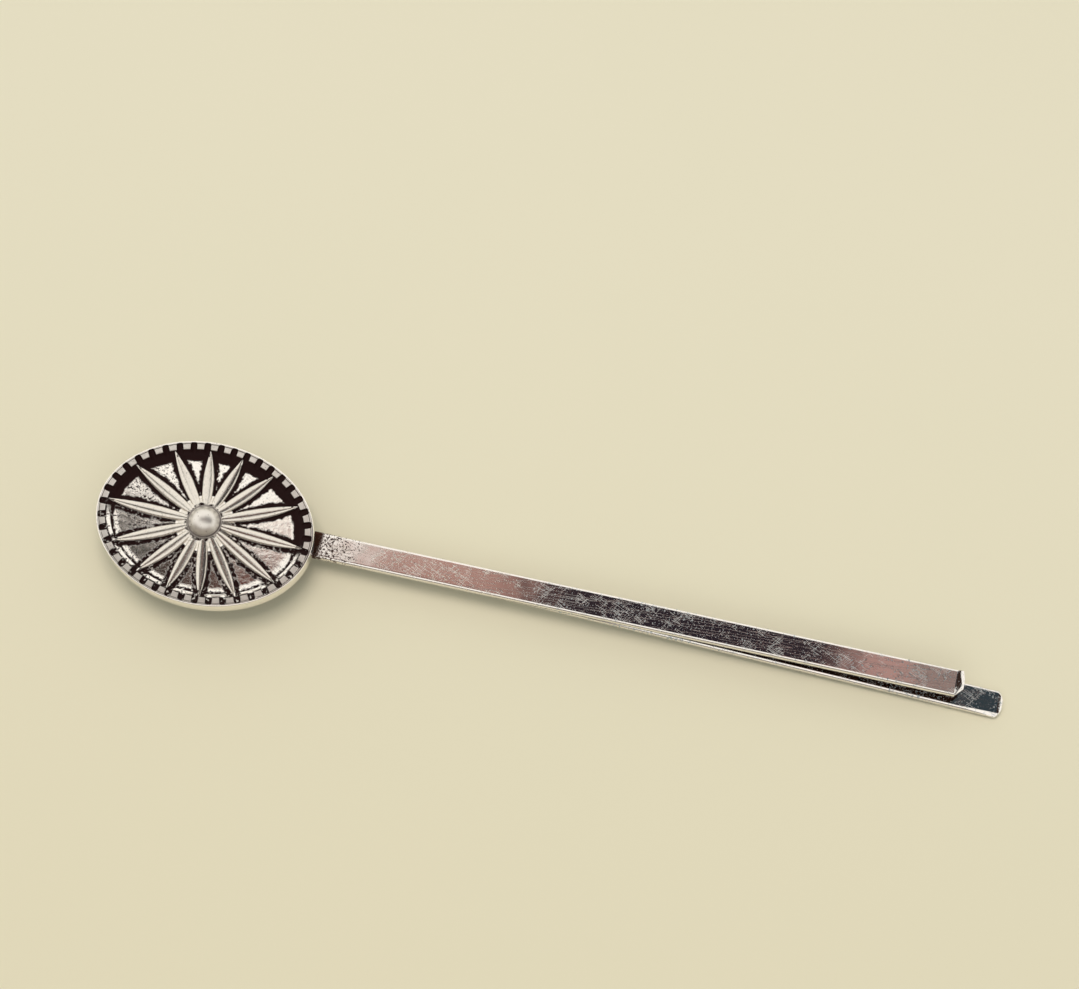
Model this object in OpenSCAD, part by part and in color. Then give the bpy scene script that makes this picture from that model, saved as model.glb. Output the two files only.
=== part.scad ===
// Decorative hair pin: a sprung two-leg strip clip with a cast oval sunburst medallion on its closed end.
// Millimetres, +Z up, lying on its loop and its longer leg. The legs run along +X; the medallion faces +Z.
// The origin is the middle of the bounding box, at its bottom.

/* [Clip strip] */
// Width of the flat spring strip
strip_width = 1.9; // [1.6:0.1:2.4]
// Thickness of the strip
strip_thickness = 0.6; // [0.5:0.05:0.7]
// Radius of the tumbled long edges
edge_round = 0.22; // [0.15:0.01:0.24]

/* [Clip legs] */
// Inside radius of the spring bend
bend_inner_radius = 0.58; // [0.5:0.02:0.8]
// Distance from the medallion's centre back to the bend's axis
bend_setback = 3.6; // [2.5:0.1:4]
// Reach of the upper leg past the medallion's centre
upper_reach = 53.1; // [45:0.1:58]
// Reach of the lower leg past the medallion's centre
lower_reach = 56.1; // [48:0.1:62]
// Where the legs come closest, past the medallion's centre
pinch_reach = 7.5; // [6.5:0.1:9]
// Gap between the legs at that point
pinch_gap = 0.15; // [0.1:0.01:0.3]
// Where they part again, past the medallion's centre
parting_reach = 21; // [12:0.5:26]
// How far the lower leg lies to the far side up to there
side_step = 0.19; // [0:0.01:0.3]
// Sideways lean of the lower leg from there to its tip, in degrees
leg_lean = 0.95; // [0:0.05:1.3]
// Length of the rolled-over tip of each leg
tip_roll = 0.45; // [0.3:0.05:0.6]

/* [Pad and adhesive] */
// Diameter of the pad on the upper leg
pad_diameter = 8; // [7:0.5:9]
// Thickness of the pad
pad_thickness = 0.35; // [0.3:0.05:0.6]
// Thickness of the set adhesive
adhesive_thickness = 0.12; // [0.08:0.02:0.2]

/* [Medallion] */
// Half of the medallion's long axis
medallion_a = 7.65; // [7.2:0.05:8.2]
// Half of its short axis
medallion_b = 5.85; // [5.6:0.05:6.4]
// Thickness at the border
border_height = 1.25; // [1.2:0.05:1.5]
// Width of the milled border
border_width = 0.62; // [0.55:0.01:0.7]
// Height that the floor rises from its edge to its middle
floor_rise = 0.33; // [0.2:0.01:0.4]
// How far its centre lies to the near side of the clip's centreline
medallion_offset = 0.67; // [0:0.01:0.9]
// Turn of its long axis from the legs, in degrees
medallion_turn = -2.5; // [-5:0.5:5]

/* [Border notches] */
// Number of notches round the border
notch_count = 41; // [36:1:44]
// Radius of the round cutter
notch_radius = 0.25; // [0.2:0.01:0.27]
// Depth of a notch at the border's inner edge
notch_depth = 0.2; // [0.12:0.01:0.22]
// Place of the first notch from the long axis, in degrees
notch_start = 6.8; // [0:0.1:8.8]

/* [Petals] */
// Number of petals
petal_count = 14; // [12:1:14]
// Half of a petal's greatest width
petal_half_width = 0.37; // [0.3:0.01:0.42]
// Slope of a petal's two top faces, in degrees
petal_slope = 33; // [25:1:40]
// Height of the ridge at its inner end, above the medallion's back
ridge_inner = 1.6; // [1.5:0.05:1.8]
// Height of the ridge at its tip
ridge_outer = 1.2; // [1.1:0.05:1.3]

/* [Centre bead] */
// Radius of the bead's base
bead_radius = 1.09; // [1:0.01:1.2]
// Height of the bead above its collar
bead_height = 0.85; // [0.7:0.05:1]
// Width of the collar round the bead
collar_width = 0.11; // [0.08:0.01:0.15]
// Height of the collar
collar_height = 0.1; // [0.06:0.01:0.14]

/* [Hidden] */
$fn = 96;

steel = [0.66, 0.66, 0.68];
pad_steel = [0.7, 0.7, 0.7];
adhesive_clear = [0.8, 0.8, 0.72];
antique_silver = [0.55, 0.53, 0.5];

// Strip
half_width = strip_width / 2;
half_thickness = strip_thickness / 2;
corner_steps = 4;
bend_mid_radius = bend_inner_radius + half_thickness;
bend_outer_radius = bend_inner_radius + strip_thickness;
upper_bottom = 2 * bend_outer_radius - strip_thickness;
upper_top = upper_bottom + strip_thickness;
lap = 0.01;

// Lower leg: level out of the bend, up to the pinch, along under the upper leg, then down and aside to the tip
rise_start = -1.6;
rise_steps = 10;
pinch_z = upper_bottom - pinch_gap - half_thickness;
tip_end_scale = 0.35;
tip_shares = [0, 0.4, 0.7, 0.9, 1];
tip_width_lag = 0.9;

// Stack of the medallion
medallion_base = upper_top + pad_thickness + adhesive_thickness;
pad_radius = pad_diameter / 2;
adhesive_inset = 0.2;
adhesive_slope = 0.15;

// Medallion profile
oval_steps = 96;
back_chamfer = 0.12;
lip_chamfer = 0.07;
wall_batter = 0.04;
bevel_top = border_height - notch_depth;
bevel_inset = 1;
floor_edge = 0.9;
floor_a = medallion_a - bevel_inset;
floor_b = medallion_b - bevel_inset;
floor_rings = [0.85, 0.7, 0.55, 0.4, 0.25];

// Equal spacing along an oval: the correction to a plain angle, in degrees
spacing_swing = 4;
notch_run = border_width - 0.1;
notch_tilt = atan(notch_depth / notch_run);
notch_back = 0.15;
notch_length = 1.2;

// Petals and the boss they spring from
petal_inner = 0.9;
ridge_start = 1.25;
petal_root_depth = 0.3;
roof_half_width = 2;
boss_top_radius = 1.3;
boss_foot_radius = 2.05;
boss_foot = 1.05;
boss_top = 1.42;
seat_clearance = 0.03;
tall = 3;

// Move from the medallion's centre on the clip's centreline to the middle of the bounding box
half_span_x = norm([medallion_a * cos(medallion_turn), medallion_b * sin(medallion_turn)]);
shift_x = (half_span_x - lower_reach) / 2;
shift_y = medallion_offset;

// Outline of a strip with round edges: half sizes across and up
function strip_outline(w, t, r) = [
    for (q = [0:3]) for (i = [0:corner_steps])
        let (a = 90 * q + 90 * i / corner_steps, side = q == 0 || q == 3 ? 1 : -1, top = q < 2 ? 1 : -1)
        [side * (w - r) + r * cos(a), top * (t - r) + r * sin(a)]
];

// Middle line of the lower leg at a given reach: height and sideways place
function rise_share(x) =
    x < rise_start ? 0 :
    x > pinch_reach ? 1 :
    (1 - cos(180 * (x - rise_start) / (pinch_reach - rise_start))) / 2;
function fall_share(x) = (lower_reach - x) / (lower_reach - parting_reach);
function lower_z(x) = half_thickness + (pinch_z - half_thickness) * min(rise_share(x), fall_share(x));
function lower_y(x) = side_step * rise_share(x) - max(0, x - parting_reach) * tan(leg_lean);

// How much of the full section is left, from the start of a rolled tip (0) to its end (1)
function tip_scale(u) = tip_end_scale + (1 - tip_end_scale) * sqrt(max(0, 1 - u * u));

// A strip drawn through stations [x, y, z, width scale, thickness scale]
module strip_through(stations) {
    n = 4 * (corner_steps + 1);
    last = len(stations) - 1;
    points = [
        for (s = stations)
            let (w = half_width * s[3], t = half_thickness * s[4], r = edge_round * min(s[3], s[4]))
            for (p = strip_outline(w, t, r)) [s[0], s[1] + p[0], s[2] + p[1]]
    ];
    walls = [
        for (k = [0:last - 1]) for (i = [0:n - 1])
            let (j = (i + 1) % n)
            [k * n + i, (k + 1) * n + i, (k + 1) * n + j, k * n + j]
    ];
    caps = [[for (i = [0:n - 1]) i], [for (i = [n - 1:-1:0]) last * n + i]];
    polyhedron(points, concat(walls, caps), convexity = 4);
}

// The rolled tip's stations, up to the given reach
function tip_stations(reach) = [
    for (u = tip_shares)
        [reach - tip_roll * (1 - u), 0, 0, tip_scale(u * tip_width_lag), tip_scale(u)]
];

// Bodies with an oval outline, from loops [half long axis, half short axis, height]
module oval_stack(loops) {
    n = oval_steps;
    last = len(loops) - 1;
    points = [for (l = loops) for (i = [0:n - 1]) [l[0] * cos(360 * i / n), l[1] * sin(360 * i / n), l[2]]];
    walls = [
        for (k = [0:last - 1]) for (i = [0:n - 1])
            let (j = (i + 1) % n)
            each [[k * n + i, (k + 1) * n + i, k * n + j], [k * n + j, (k + 1) * n + i, (k + 1) * n + j]]
    ];
    caps = [[for (i = [0:n - 1]) i], [for (i = [n - 1:-1:0]) last * n + i]];
    polyhedron(points, concat(walls, caps), convexity = 6);
}

// Places its child in the medallion's frame, on the medallion's back
module on_medallion() {
    translate([shift_x, shift_y - medallion_offset, medallion_base]) rotate([0, 0, medallion_turn]) children();
}

module upper_leg() {
    body_end = upper_reach - tip_roll;
    color(steel) translate([shift_x, shift_y, 0]) union() {
        translate([-bend_setback, 0, upper_bottom + half_thickness]) rotate([90, 0, 90])
            linear_extrude(height = body_end + bend_setback)
                polygon(strip_outline(half_width, half_thickness, edge_round));
        translate([0, 0, upper_bottom + half_thickness])
            strip_through(concat([[body_end - lap, 0, 0, 1, 1]], tip_stations(upper_reach)));
    }
}

module spring_bend() {
    color(steel) translate([shift_x - bend_setback, shift_y, bend_outer_radius])
        rotate([90, 0, 0]) rotate([0, 0, 90]) rotate_extrude(angle = 180)
            translate([bend_mid_radius, 0]) polygon(strip_outline(half_thickness, half_width, edge_round));
}

module lower_leg() {
    rise = pinch_reach - rise_start;
    body_end = lower_reach - tip_roll;
    plain = concat(
        [-bend_setback],
        [for (i = [0:rise_steps]) rise_start + rise * i / rise_steps],
        [parting_reach, body_end - lap]
    );
    body = [for (x = plain) [x, lower_y(x), lower_z(x), 1, 1]];
    tip = [for (s = tip_stations(lower_reach)) [s[0], lower_y(s[0]), lower_z(s[0]), s[3], s[4]]];
    color(steel) translate([shift_x, shift_y, 0]) strip_through(concat(body, tip));
}

module glue_pad() {
    color(pad_steel) translate([shift_x, shift_y, upper_top]) cylinder(r = pad_radius, h = pad_thickness);
}

module adhesive_bed() {
    foot = pad_radius - adhesive_inset;
    color(adhesive_clear) translate([shift_x, shift_y, upper_top + pad_thickness])
        cylinder(r1 = foot, r2 = foot - adhesive_slope, h = adhesive_thickness);
}

module medallion_plate() {
    a = medallion_a;
    b = medallion_b;
    w = border_width;
    outside = [
        [a - back_chamfer, b - back_chamfer, 0],
        [a, b, back_chamfer],
        [a, b, border_height - lip_chamfer],
        [a - lip_chamfer, b - lip_chamfer, border_height],
        [a - w, b - w, border_height],
        [a - w - wall_batter, b - w - wall_batter, bevel_top],
        [floor_a, floor_b, floor_edge]
    ];
    floor_loops = [for (k = floor_rings) [floor_a * k, floor_b * k, floor_edge + floor_rise * (1 - k * k)]];
    oval_stack(concat(outside, floor_loops));
}

// A round cut that starts at the border's inner edge and runs out just inside the lip
module border_notch(u) {
    t = u + spacing_swing * sin(2 * u);
    a = medallion_a - border_width;
    b = medallion_b - border_width;
    translate([a * cos(t), b * sin(t), bevel_top]) rotate([0, 0, atan2(a * sin(t), b * cos(t))])
        rotate([0, 90 - notch_tilt, 0]) translate([-notch_radius, 0, -notch_back])
            cylinder(r = notch_radius, h = notch_length);
}

// A pointed petal along +X, with a ridge along its middle
module petal(reach) {
    half_length = (reach - petal_inner) / 2;
    arc = (half_length * half_length + petal_half_width * petal_half_width) / (2 * petal_half_width);
    fall = atan((ridge_inner - ridge_outer) / (reach - ridge_start));
    drop = roof_half_width * tan(petal_slope);
    intersection() {
        translate([petal_inner + half_length, petal_half_width - arc, petal_root_depth]) cylinder(r = arc, h = tall);
        translate([petal_inner + half_length, arc - petal_half_width, petal_root_depth]) cylinder(r = arc, h = tall);
        translate([ridge_start, 0, ridge_inner]) rotate([90, 0, 90]) rotate([fall, 0, 0])
            translate([0, 0, -ridge_start]) linear_extrude(height = reach + tall)
                polygon([[-roof_half_width, -drop], [0, 0], [roof_half_width, -drop]]);
    }
}

module medallion_casting() {
    tip_a = medallion_a - border_width;
    tip_b = medallion_b - border_width;
    color(antique_silver) on_medallion() difference() {
        union() {
            medallion_plate();
            translate([0, 0, boss_foot])
                cylinder(r1 = boss_foot_radius, r2 = boss_top_radius, h = boss_top - boss_foot);
            for (i = [0:petal_count - 1]) {
                angle = 360 * i / petal_count;
                reach = 1 / norm([cos(angle) / tip_a, sin(angle) / tip_b]);
                rotate([0, 0, angle]) petal(reach);
            }
        }
        for (i = [0:notch_count - 1]) border_notch(notch_start + 360 * i / notch_count);
        translate([0, 0, boss_top]) cylinder(r = bead_radius + collar_width + seat_clearance, h = tall);
    }
}

module centre_bead() {
    ball = (bead_radius * bead_radius + bead_height * bead_height) / (2 * bead_height);
    color(antique_silver) on_medallion() translate([0, 0, boss_top]) union() {
        cylinder(r = bead_radius + collar_width, h = collar_height);
        intersection() {
            translate([0, 0, collar_height + bead_height - ball]) sphere(r = ball);
            translate([0, 0, collar_height / 2]) cylinder(r = 2 * bead_radius, h = tall);
        }
    }
}

upper_leg();
spring_bend();
lower_leg();
glue_pad();
adhesive_bed();
medallion_casting();
centre_bead();
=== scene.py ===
"""Looks of the decorative hair pin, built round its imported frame.

The pieces are modelled in millimetres and brought into the frame's metres when they are done.
"""

import logging
import math
from contextlib import contextmanager
from dataclasses import dataclass, field
from enum import Enum
from typing import Callable, Iterator, Sequence

import bmesh
import bpy
from mathutils import Matrix, Vector


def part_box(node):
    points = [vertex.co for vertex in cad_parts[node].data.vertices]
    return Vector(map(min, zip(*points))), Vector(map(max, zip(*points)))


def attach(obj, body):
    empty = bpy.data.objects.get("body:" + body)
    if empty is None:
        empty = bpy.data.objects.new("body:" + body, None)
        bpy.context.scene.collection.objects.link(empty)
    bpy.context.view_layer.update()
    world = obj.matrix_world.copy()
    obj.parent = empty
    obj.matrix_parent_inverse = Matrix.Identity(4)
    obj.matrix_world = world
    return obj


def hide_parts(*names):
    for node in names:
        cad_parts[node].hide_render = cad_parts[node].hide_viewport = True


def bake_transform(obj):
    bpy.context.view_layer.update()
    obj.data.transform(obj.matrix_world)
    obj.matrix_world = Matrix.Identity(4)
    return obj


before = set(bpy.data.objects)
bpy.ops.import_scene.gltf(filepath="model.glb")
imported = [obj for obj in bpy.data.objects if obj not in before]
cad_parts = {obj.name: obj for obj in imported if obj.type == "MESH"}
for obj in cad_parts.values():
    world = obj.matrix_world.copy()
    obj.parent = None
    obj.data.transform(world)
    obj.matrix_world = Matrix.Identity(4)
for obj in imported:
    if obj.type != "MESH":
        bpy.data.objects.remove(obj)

LOG = logging.getLogger("hair_pin")
MM = 0.001
FIXED_BODY = "medallion_and_upper_leg"
SPRUNG_BODY = "lower_leg_body"
Colour = tuple[float, float, float]


# ---------------------------------------------------------------- modelling


class Part(Enum):
    """What a selection picks out of a mesh."""

    FACES = (False, False, True)
    EDGES = (False, True, False)
    POINTS = (True, False, False)


def deselect_all() -> None:
    """Leaves object mode ready for a new primitive, with nothing selected."""
    if bpy.context.mode != "OBJECT":
        bpy.ops.object.mode_set(mode="OBJECT")
    bpy.ops.object.select_all(action="DESELECT")


def node_box(node: str) -> tuple[Vector, Vector]:
    """Gives a frame node's two corners in millimetres.

    Args:
        node: The node's name.

    Returns:
        Its lowest and its highest corner.
    """
    low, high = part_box(node)
    return low / MM, high / MM


class Workpiece:
    """One mesh being shaped with the modelling operators, in millimetres."""

    def __init__(self, name: str) -> None:
        """Takes over the primitive that was added last.

        Args:
            name: The piece's name.
        """
        self.obj = bpy.context.active_object
        self.obj.name = name
        self.obj.data.name = name

    @classmethod
    def block(cls, name: str, low: Vector, high: Vector) -> "Workpiece":
        """Starts from a block between two corners.

        Args:
            name: The piece's name.
            low: The lowest corner.
            high: The highest corner.

        Returns:
            The new piece.
        """
        deselect_all()
        bpy.ops.mesh.primitive_cube_add(size=1, location=(low + high) / 2)
        piece = cls(name)
        piece.obj.scale = high - low
        piece.apply_place()
        return piece

    @classmethod
    def disc(cls, name: str, radius: float, low: float, high: float, steps: int, centre: Vector) -> "Workpiece":
        """Starts from an upright round block.

        Args:
            name: The piece's name.
            radius: Its radius.
            low: Height of its bottom.
            high: Height of its top.
            steps: Sides round it.
            centre: A point on its axis.

        Returns:
            The new piece.
        """
        deselect_all()
        bpy.ops.mesh.primitive_cylinder_add(
            vertices=steps, radius=radius, depth=high - low, location=(centre.x, centre.y, (low + high) / 2)
        )
        piece = cls(name)
        piece.apply_place()
        return piece

    def apply_place(self) -> None:
        """Puts the object's place, turn and size into its mesh."""
        deselect_all()
        self.obj.select_set(True)
        bpy.context.view_layer.objects.active = self.obj
        bpy.ops.object.transform_apply(location=True, rotation=True, scale=True)

    @contextmanager
    def editing(self) -> Iterator["Workpiece"]:
        """Opens the piece in edit mode and closes it again."""
        deselect_all()
        self.obj.select_set(True)
        bpy.context.view_layer.objects.active = self.obj
        bpy.ops.object.mode_set(mode="EDIT")
        try:
            yield self
        finally:
            bpy.ops.object.mode_set(mode="OBJECT")

    def pick(self, part: Part, test: Callable[[Vector, Vector], bool]) -> int:
        """Selects by place and direction, in edit mode.

        Args:
            part: Whether faces, edges or points are picked.
            test: Takes an element's centre and its normal (an edge's own direction) and says whether it is in.

        Returns:
            How many were picked.
        """
        bpy.context.tool_settings.mesh_select_mode = part.value
        bpy.ops.mesh.select_all(action="DESELECT")
        mesh = bmesh.from_edit_mesh(self.obj.data)
        mesh.normal_update()
        count = 0
        if part is Part.FACES:
            found = [f for f in mesh.faces if test(f.calc_center_median(), f.normal)]
        elif part is Part.EDGES:
            found = [
                e
                for e in mesh.edges
                if test((e.verts[0].co + e.verts[1].co) / 2, (e.verts[1].co - e.verts[0].co).normalized())
            ]
        else:
            found = [v for v in mesh.verts if test(v.co, v.normal)]
        for element in found:
            element.select_set(True)
            count += 1
        mesh.select_flush_mode()
        bmesh.update_edit_mesh(self.obj.data)
        return count

    def extrude(self, move: Sequence[float]) -> None:
        """Extrudes what is picked and moves it."""
        bpy.ops.mesh.extrude_region_move(TRANSFORM_OT_translate={"value": tuple(move)})

    def resize(self, scale: Sequence[float], about: Sequence[float]) -> None:
        """Resizes what is picked about a point."""
        bpy.ops.transform.resize(value=tuple(scale), center_override=tuple(about))

    def shift(self, move: Sequence[float]) -> None:
        """Moves what is picked."""
        bpy.ops.transform.translate(value=tuple(move))

    def bevel(self, width: float, segments: int) -> None:
        """Rounds the picked edges."""
        bpy.ops.mesh.bevel(offset=width, segments=segments, profile=0.5, affect="EDGES", clamp_overlap=True)

    def cut(self, point: Vector, outward: Vector) -> None:
        """Cuts away everything past a plane, in edit mode, and closes the cut.

        Args:
            point: A point on the plane.
            outward: The side that goes.
        """
        bpy.ops.mesh.select_all(action="SELECT")
        bpy.ops.mesh.bisect(plane_co=point, plane_no=outward, use_fill=True, clear_outer=True)

    def heal_normals(self) -> None:
        """Turns every face outwards, in edit mode."""
        bpy.ops.mesh.select_all(action="SELECT")
        bpy.ops.mesh.normals_make_consistent(inside=False)

    def modify(self, kind: str, **settings: object) -> None:
        """Adds a modifier and applies it.

        Args:
            kind: The modifier's type.
            **settings: Its settings.
        """
        modifier = self.obj.modifiers.new(kind.title(), kind)
        for key, value in settings.items():
            setattr(modifier, key, value)
        deselect_all()
        self.obj.select_set(True)
        bpy.context.view_layer.objects.active = self.obj
        bpy.ops.object.modifier_apply(modifier=modifier.name)

    def combine(self, other: "Workpiece", operation: str) -> None:
        """Adds or cuts another piece, which is used up.

        Args:
            other: The other piece.
            operation: UNION or DIFFERENCE.
        """
        self.modify("BOOLEAN", object=other.obj, operation=operation, solver="EXACT")
        bpy.data.objects.remove(other.obj)

    def copy(self, name: str) -> "Workpiece":
        """Makes a copy with its own mesh."""
        twin = self.obj.copy()
        twin.data = self.obj.data.copy()
        bpy.context.collection.objects.link(twin)
        deselect_all()
        bpy.context.view_layer.objects.active = twin
        return Workpiece(name)

    def join(self, others: Sequence["Workpiece"]) -> None:
        """Joins other pieces into this one as loose shells."""
        deselect_all()
        for other in others:
            other.obj.select_set(True)
        self.obj.select_set(True)
        bpy.context.view_layer.objects.active = self.obj
        bpy.ops.object.join()

    def to_frame(self, smooth_angle: float, turn: float = 0.0, place: Vector | None = None) -> bpy.types.Object:
        """Brings the finished piece into the frame, in metres.

        Args:
            smooth_angle: Edges flatter than this many degrees are shaded smooth.
            turn: Turn about the upright axis, in degrees.
            place: Where the piece's own origin goes, in millimetres.

        Returns:
            The finished object.
        """
        where = Matrix.Translation((place or Vector()) * MM)
        self.obj.matrix_world = where @ Matrix.Rotation(math.radians(turn), 4, "Z") @ Matrix.Scale(MM, 4)
        self.apply_place()
        bpy.ops.object.shade_smooth_by_angle(angle=math.radians(smooth_angle))
        self.modify("WEIGHTED_NORMAL", keep_sharp=True, weight=80)
        return self.obj


# ---------------------------------------------------------------- shading


class Sheet:
    """Adds and joins nodes in one node tree."""

    def __init__(self, tree: bpy.types.NodeTree) -> None:
        """Takes the tree to work in."""
        self.tree = tree

    def node(self, kind: str, inputs: dict[str, object] | None = None, **settings: object) -> bpy.types.Node:
        """Adds a node.

        Args:
            kind: The node's type.
            inputs: Input names or numbers, each with a socket to link or a value to set.
            **settings: The node's own settings.

        Returns:
            The new node.
        """
        node = self.tree.nodes.new(kind)
        for key, value in settings.items():
            setattr(node, key, value)
        for key, value in (inputs or {}).items():
            self.feed(node.inputs[key], value)
        return node

    def feed(self, socket: bpy.types.NodeSocket, value: object) -> None:
        """Links a socket to an input, or sets the input's value."""
        if isinstance(value, bpy.types.NodeSocket):
            self.tree.links.new(value, socket)
        elif isinstance(value, tuple) and len(value) == 3 and socket.type == "RGBA":
            socket.default_value = (*value, 1.0)
        else:
            socket.default_value = value

    def math(self, operation: str, *values: object, clamp: bool = False) -> bpy.types.NodeSocket:
        """Adds a Math node and gives its result."""
        node = self.node("ShaderNodeMath", operation=operation, use_clamp=clamp)
        for socket, value in zip(node.inputs, values):
            self.feed(socket, value)
        return node.outputs[0]

    def step(self, value: object, low: float, high: float) -> bpy.types.NodeSocket:
        """Gives 0 below low and 1 above high, smoothly; high may be the smaller one."""
        node = self.node(
            "ShaderNodeMapRange",
            {"Value": value, "From Min": low, "From Max": high},
            interpolation_type="SMOOTHSTEP",
        )
        return node.outputs["Result"]

    def mix(self, factor: object, first: object, second: object) -> bpy.types.NodeSocket:
        """Mixes two colours."""
        node = self.node("ShaderNodeMix", data_type="RGBA")
        self.feed(node.inputs[0], factor)
        self.feed(node.inputs[6], first)
        self.feed(node.inputs[7], second)
        return node.outputs[2]

    def noise(self, vector: object, scale: float, detail: float = 3.0, rough: float = 0.55) -> bpy.types.NodeSocket:
        """Gives a noise's value."""
        node = self.node("ShaderNodeTexNoise", {"Vector": vector, "Scale": scale, "Detail": detail, "Roughness": rough})
        return node.outputs[0]

    def placed(self, centre: Vector, turn: float, stretch: Colour = (1.0, 1.0, 1.0)) -> bpy.types.NodeSocket:
        """Gives the piece's own coordinates in millimetres, from a centre and turned.

        Args:
            centre: The pattern's origin, in millimetres.
            turn: Its turn about the upright axis, in degrees.
            stretch: How much longer the pattern is drawn along each axis.

        Returns:
            The coordinates' socket.
        """
        source = self.node("ShaderNodeTexCoord").outputs["Object"]
        mapping = self.node("ShaderNodeMapping", {"Vector": source}, vector_type="TEXTURE")
        mapping.inputs["Location"].default_value = centre * MM
        mapping.inputs["Rotation"].default_value = (0.0, 0.0, math.radians(turn))
        mapping.inputs["Scale"].default_value = tuple(MM * s for s in stretch)
        return mapping.outputs[0]


def new_group(name: str, inputs: dict[str, str], outputs: dict[str, str]) -> tuple[bpy.types.NodeTree, Sheet]:
    """Starts a shader node group.

    Args:
        name: Its name.
        inputs: Input names with their socket types.
        outputs: Output names with their socket types.

    Returns:
        The group and a sheet to draw it on.
    """
    group = bpy.data.node_groups.new(name, "ShaderNodeTree")
    for label, kind in inputs.items():
        group.interface.new_socket(name=label, in_out="INPUT", socket_type=kind)
    for label, kind in outputs.items():
        group.interface.new_socket(name=label, in_out="OUTPUT", socket_type=kind)
    return group, Sheet(group)


def handling_marks() -> bpy.types.NodeTree:
    """Makes the group that draws hairline scratches and small flecks on polished metal.

    Returns:
        The group: Vector in millimetres and Cover in; Scratches and Flecks out, each 0 to 1.
    """
    group, sheet = new_group(
        "Handling marks",
        {"Vector": "NodeSocketVector", "Cover": "NodeSocketFloat"},
        {"Scratches": "NodeSocketFloat", "Flecks": "NodeSocketFloat"},
    )
    source = sheet.node("NodeGroupInput")
    where = source.outputs["Vector"]
    hairlines = []
    for turn, stretch in ((3.0, 22.0), (-24.0, 12.0), (52.0, 9.0)):
        mapping = sheet.node("ShaderNodeMapping", {"Vector": where}, vector_type="TEXTURE")
        mapping.inputs["Rotation"].default_value = (0.0, 0.0, math.radians(turn))
        mapping.inputs["Scale"].default_value = (stretch, 1.0, 1.0)
        grain = sheet.noise(mapping.outputs[0], 4.2, 1.0, 0.5)
        off_middle = sheet.math("ABSOLUTE", sheet.math("SUBTRACT", grain, 0.5))
        hairlines.append(sheet.math("SUBTRACT", 1.0, sheet.math("DIVIDE", off_middle, 0.009), clamp=True))
    cross = sheet.math("MAXIMUM", hairlines[1], hairlines[2])
    cross = sheet.math("MULTIPLY", cross, sheet.step(sheet.noise(where, 0.9, 2.0), 0.47, 0.58))
    scratches = sheet.math("MAXIMUM", sheet.math("MULTIPLY", hairlines[0], 0.25), cross)
    warp = sheet.node("ShaderNodeTexNoise", {"Vector": where, "Scale": 7.0, "Detail": 2.0})
    ragged = sheet.node("ShaderNodeVectorMath", {0: warp.outputs[1], 1: (0.22, 0.22, 0.22)}, operation="MULTIPLY")
    moved = sheet.node("ShaderNodeVectorMath", {0: where, 1: ragged.outputs[0]}, operation="ADD")
    layers = []
    for scale, size in ((5.0, 0.34), (11.0, 0.40)):
        cells = sheet.node("ShaderNodeTexVoronoi", {"Vector": moved.outputs[0], "Scale": scale})
        chance = sheet.node("ShaderNodeSeparateColor", {0: cells.outputs["Color"]}).outputs[0]
        reach = sheet.math("MULTIPLY", sheet.math("SUBTRACT", chance, sheet.math("SUBTRACT", 1.0, source.outputs["Cover"])), size * 2)
        layers.append(sheet.step(sheet.math("SUBTRACT", cells.outputs["Distance"], reach), 0.06, -0.06))
    out = sheet.node("NodeGroupOutput")
    sheet.feed(out.inputs["Scratches"], scratches)
    sheet.feed(out.inputs["Flecks"], sheet.math("MAXIMUM", layers[0], layers[1]))
    return group


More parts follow.
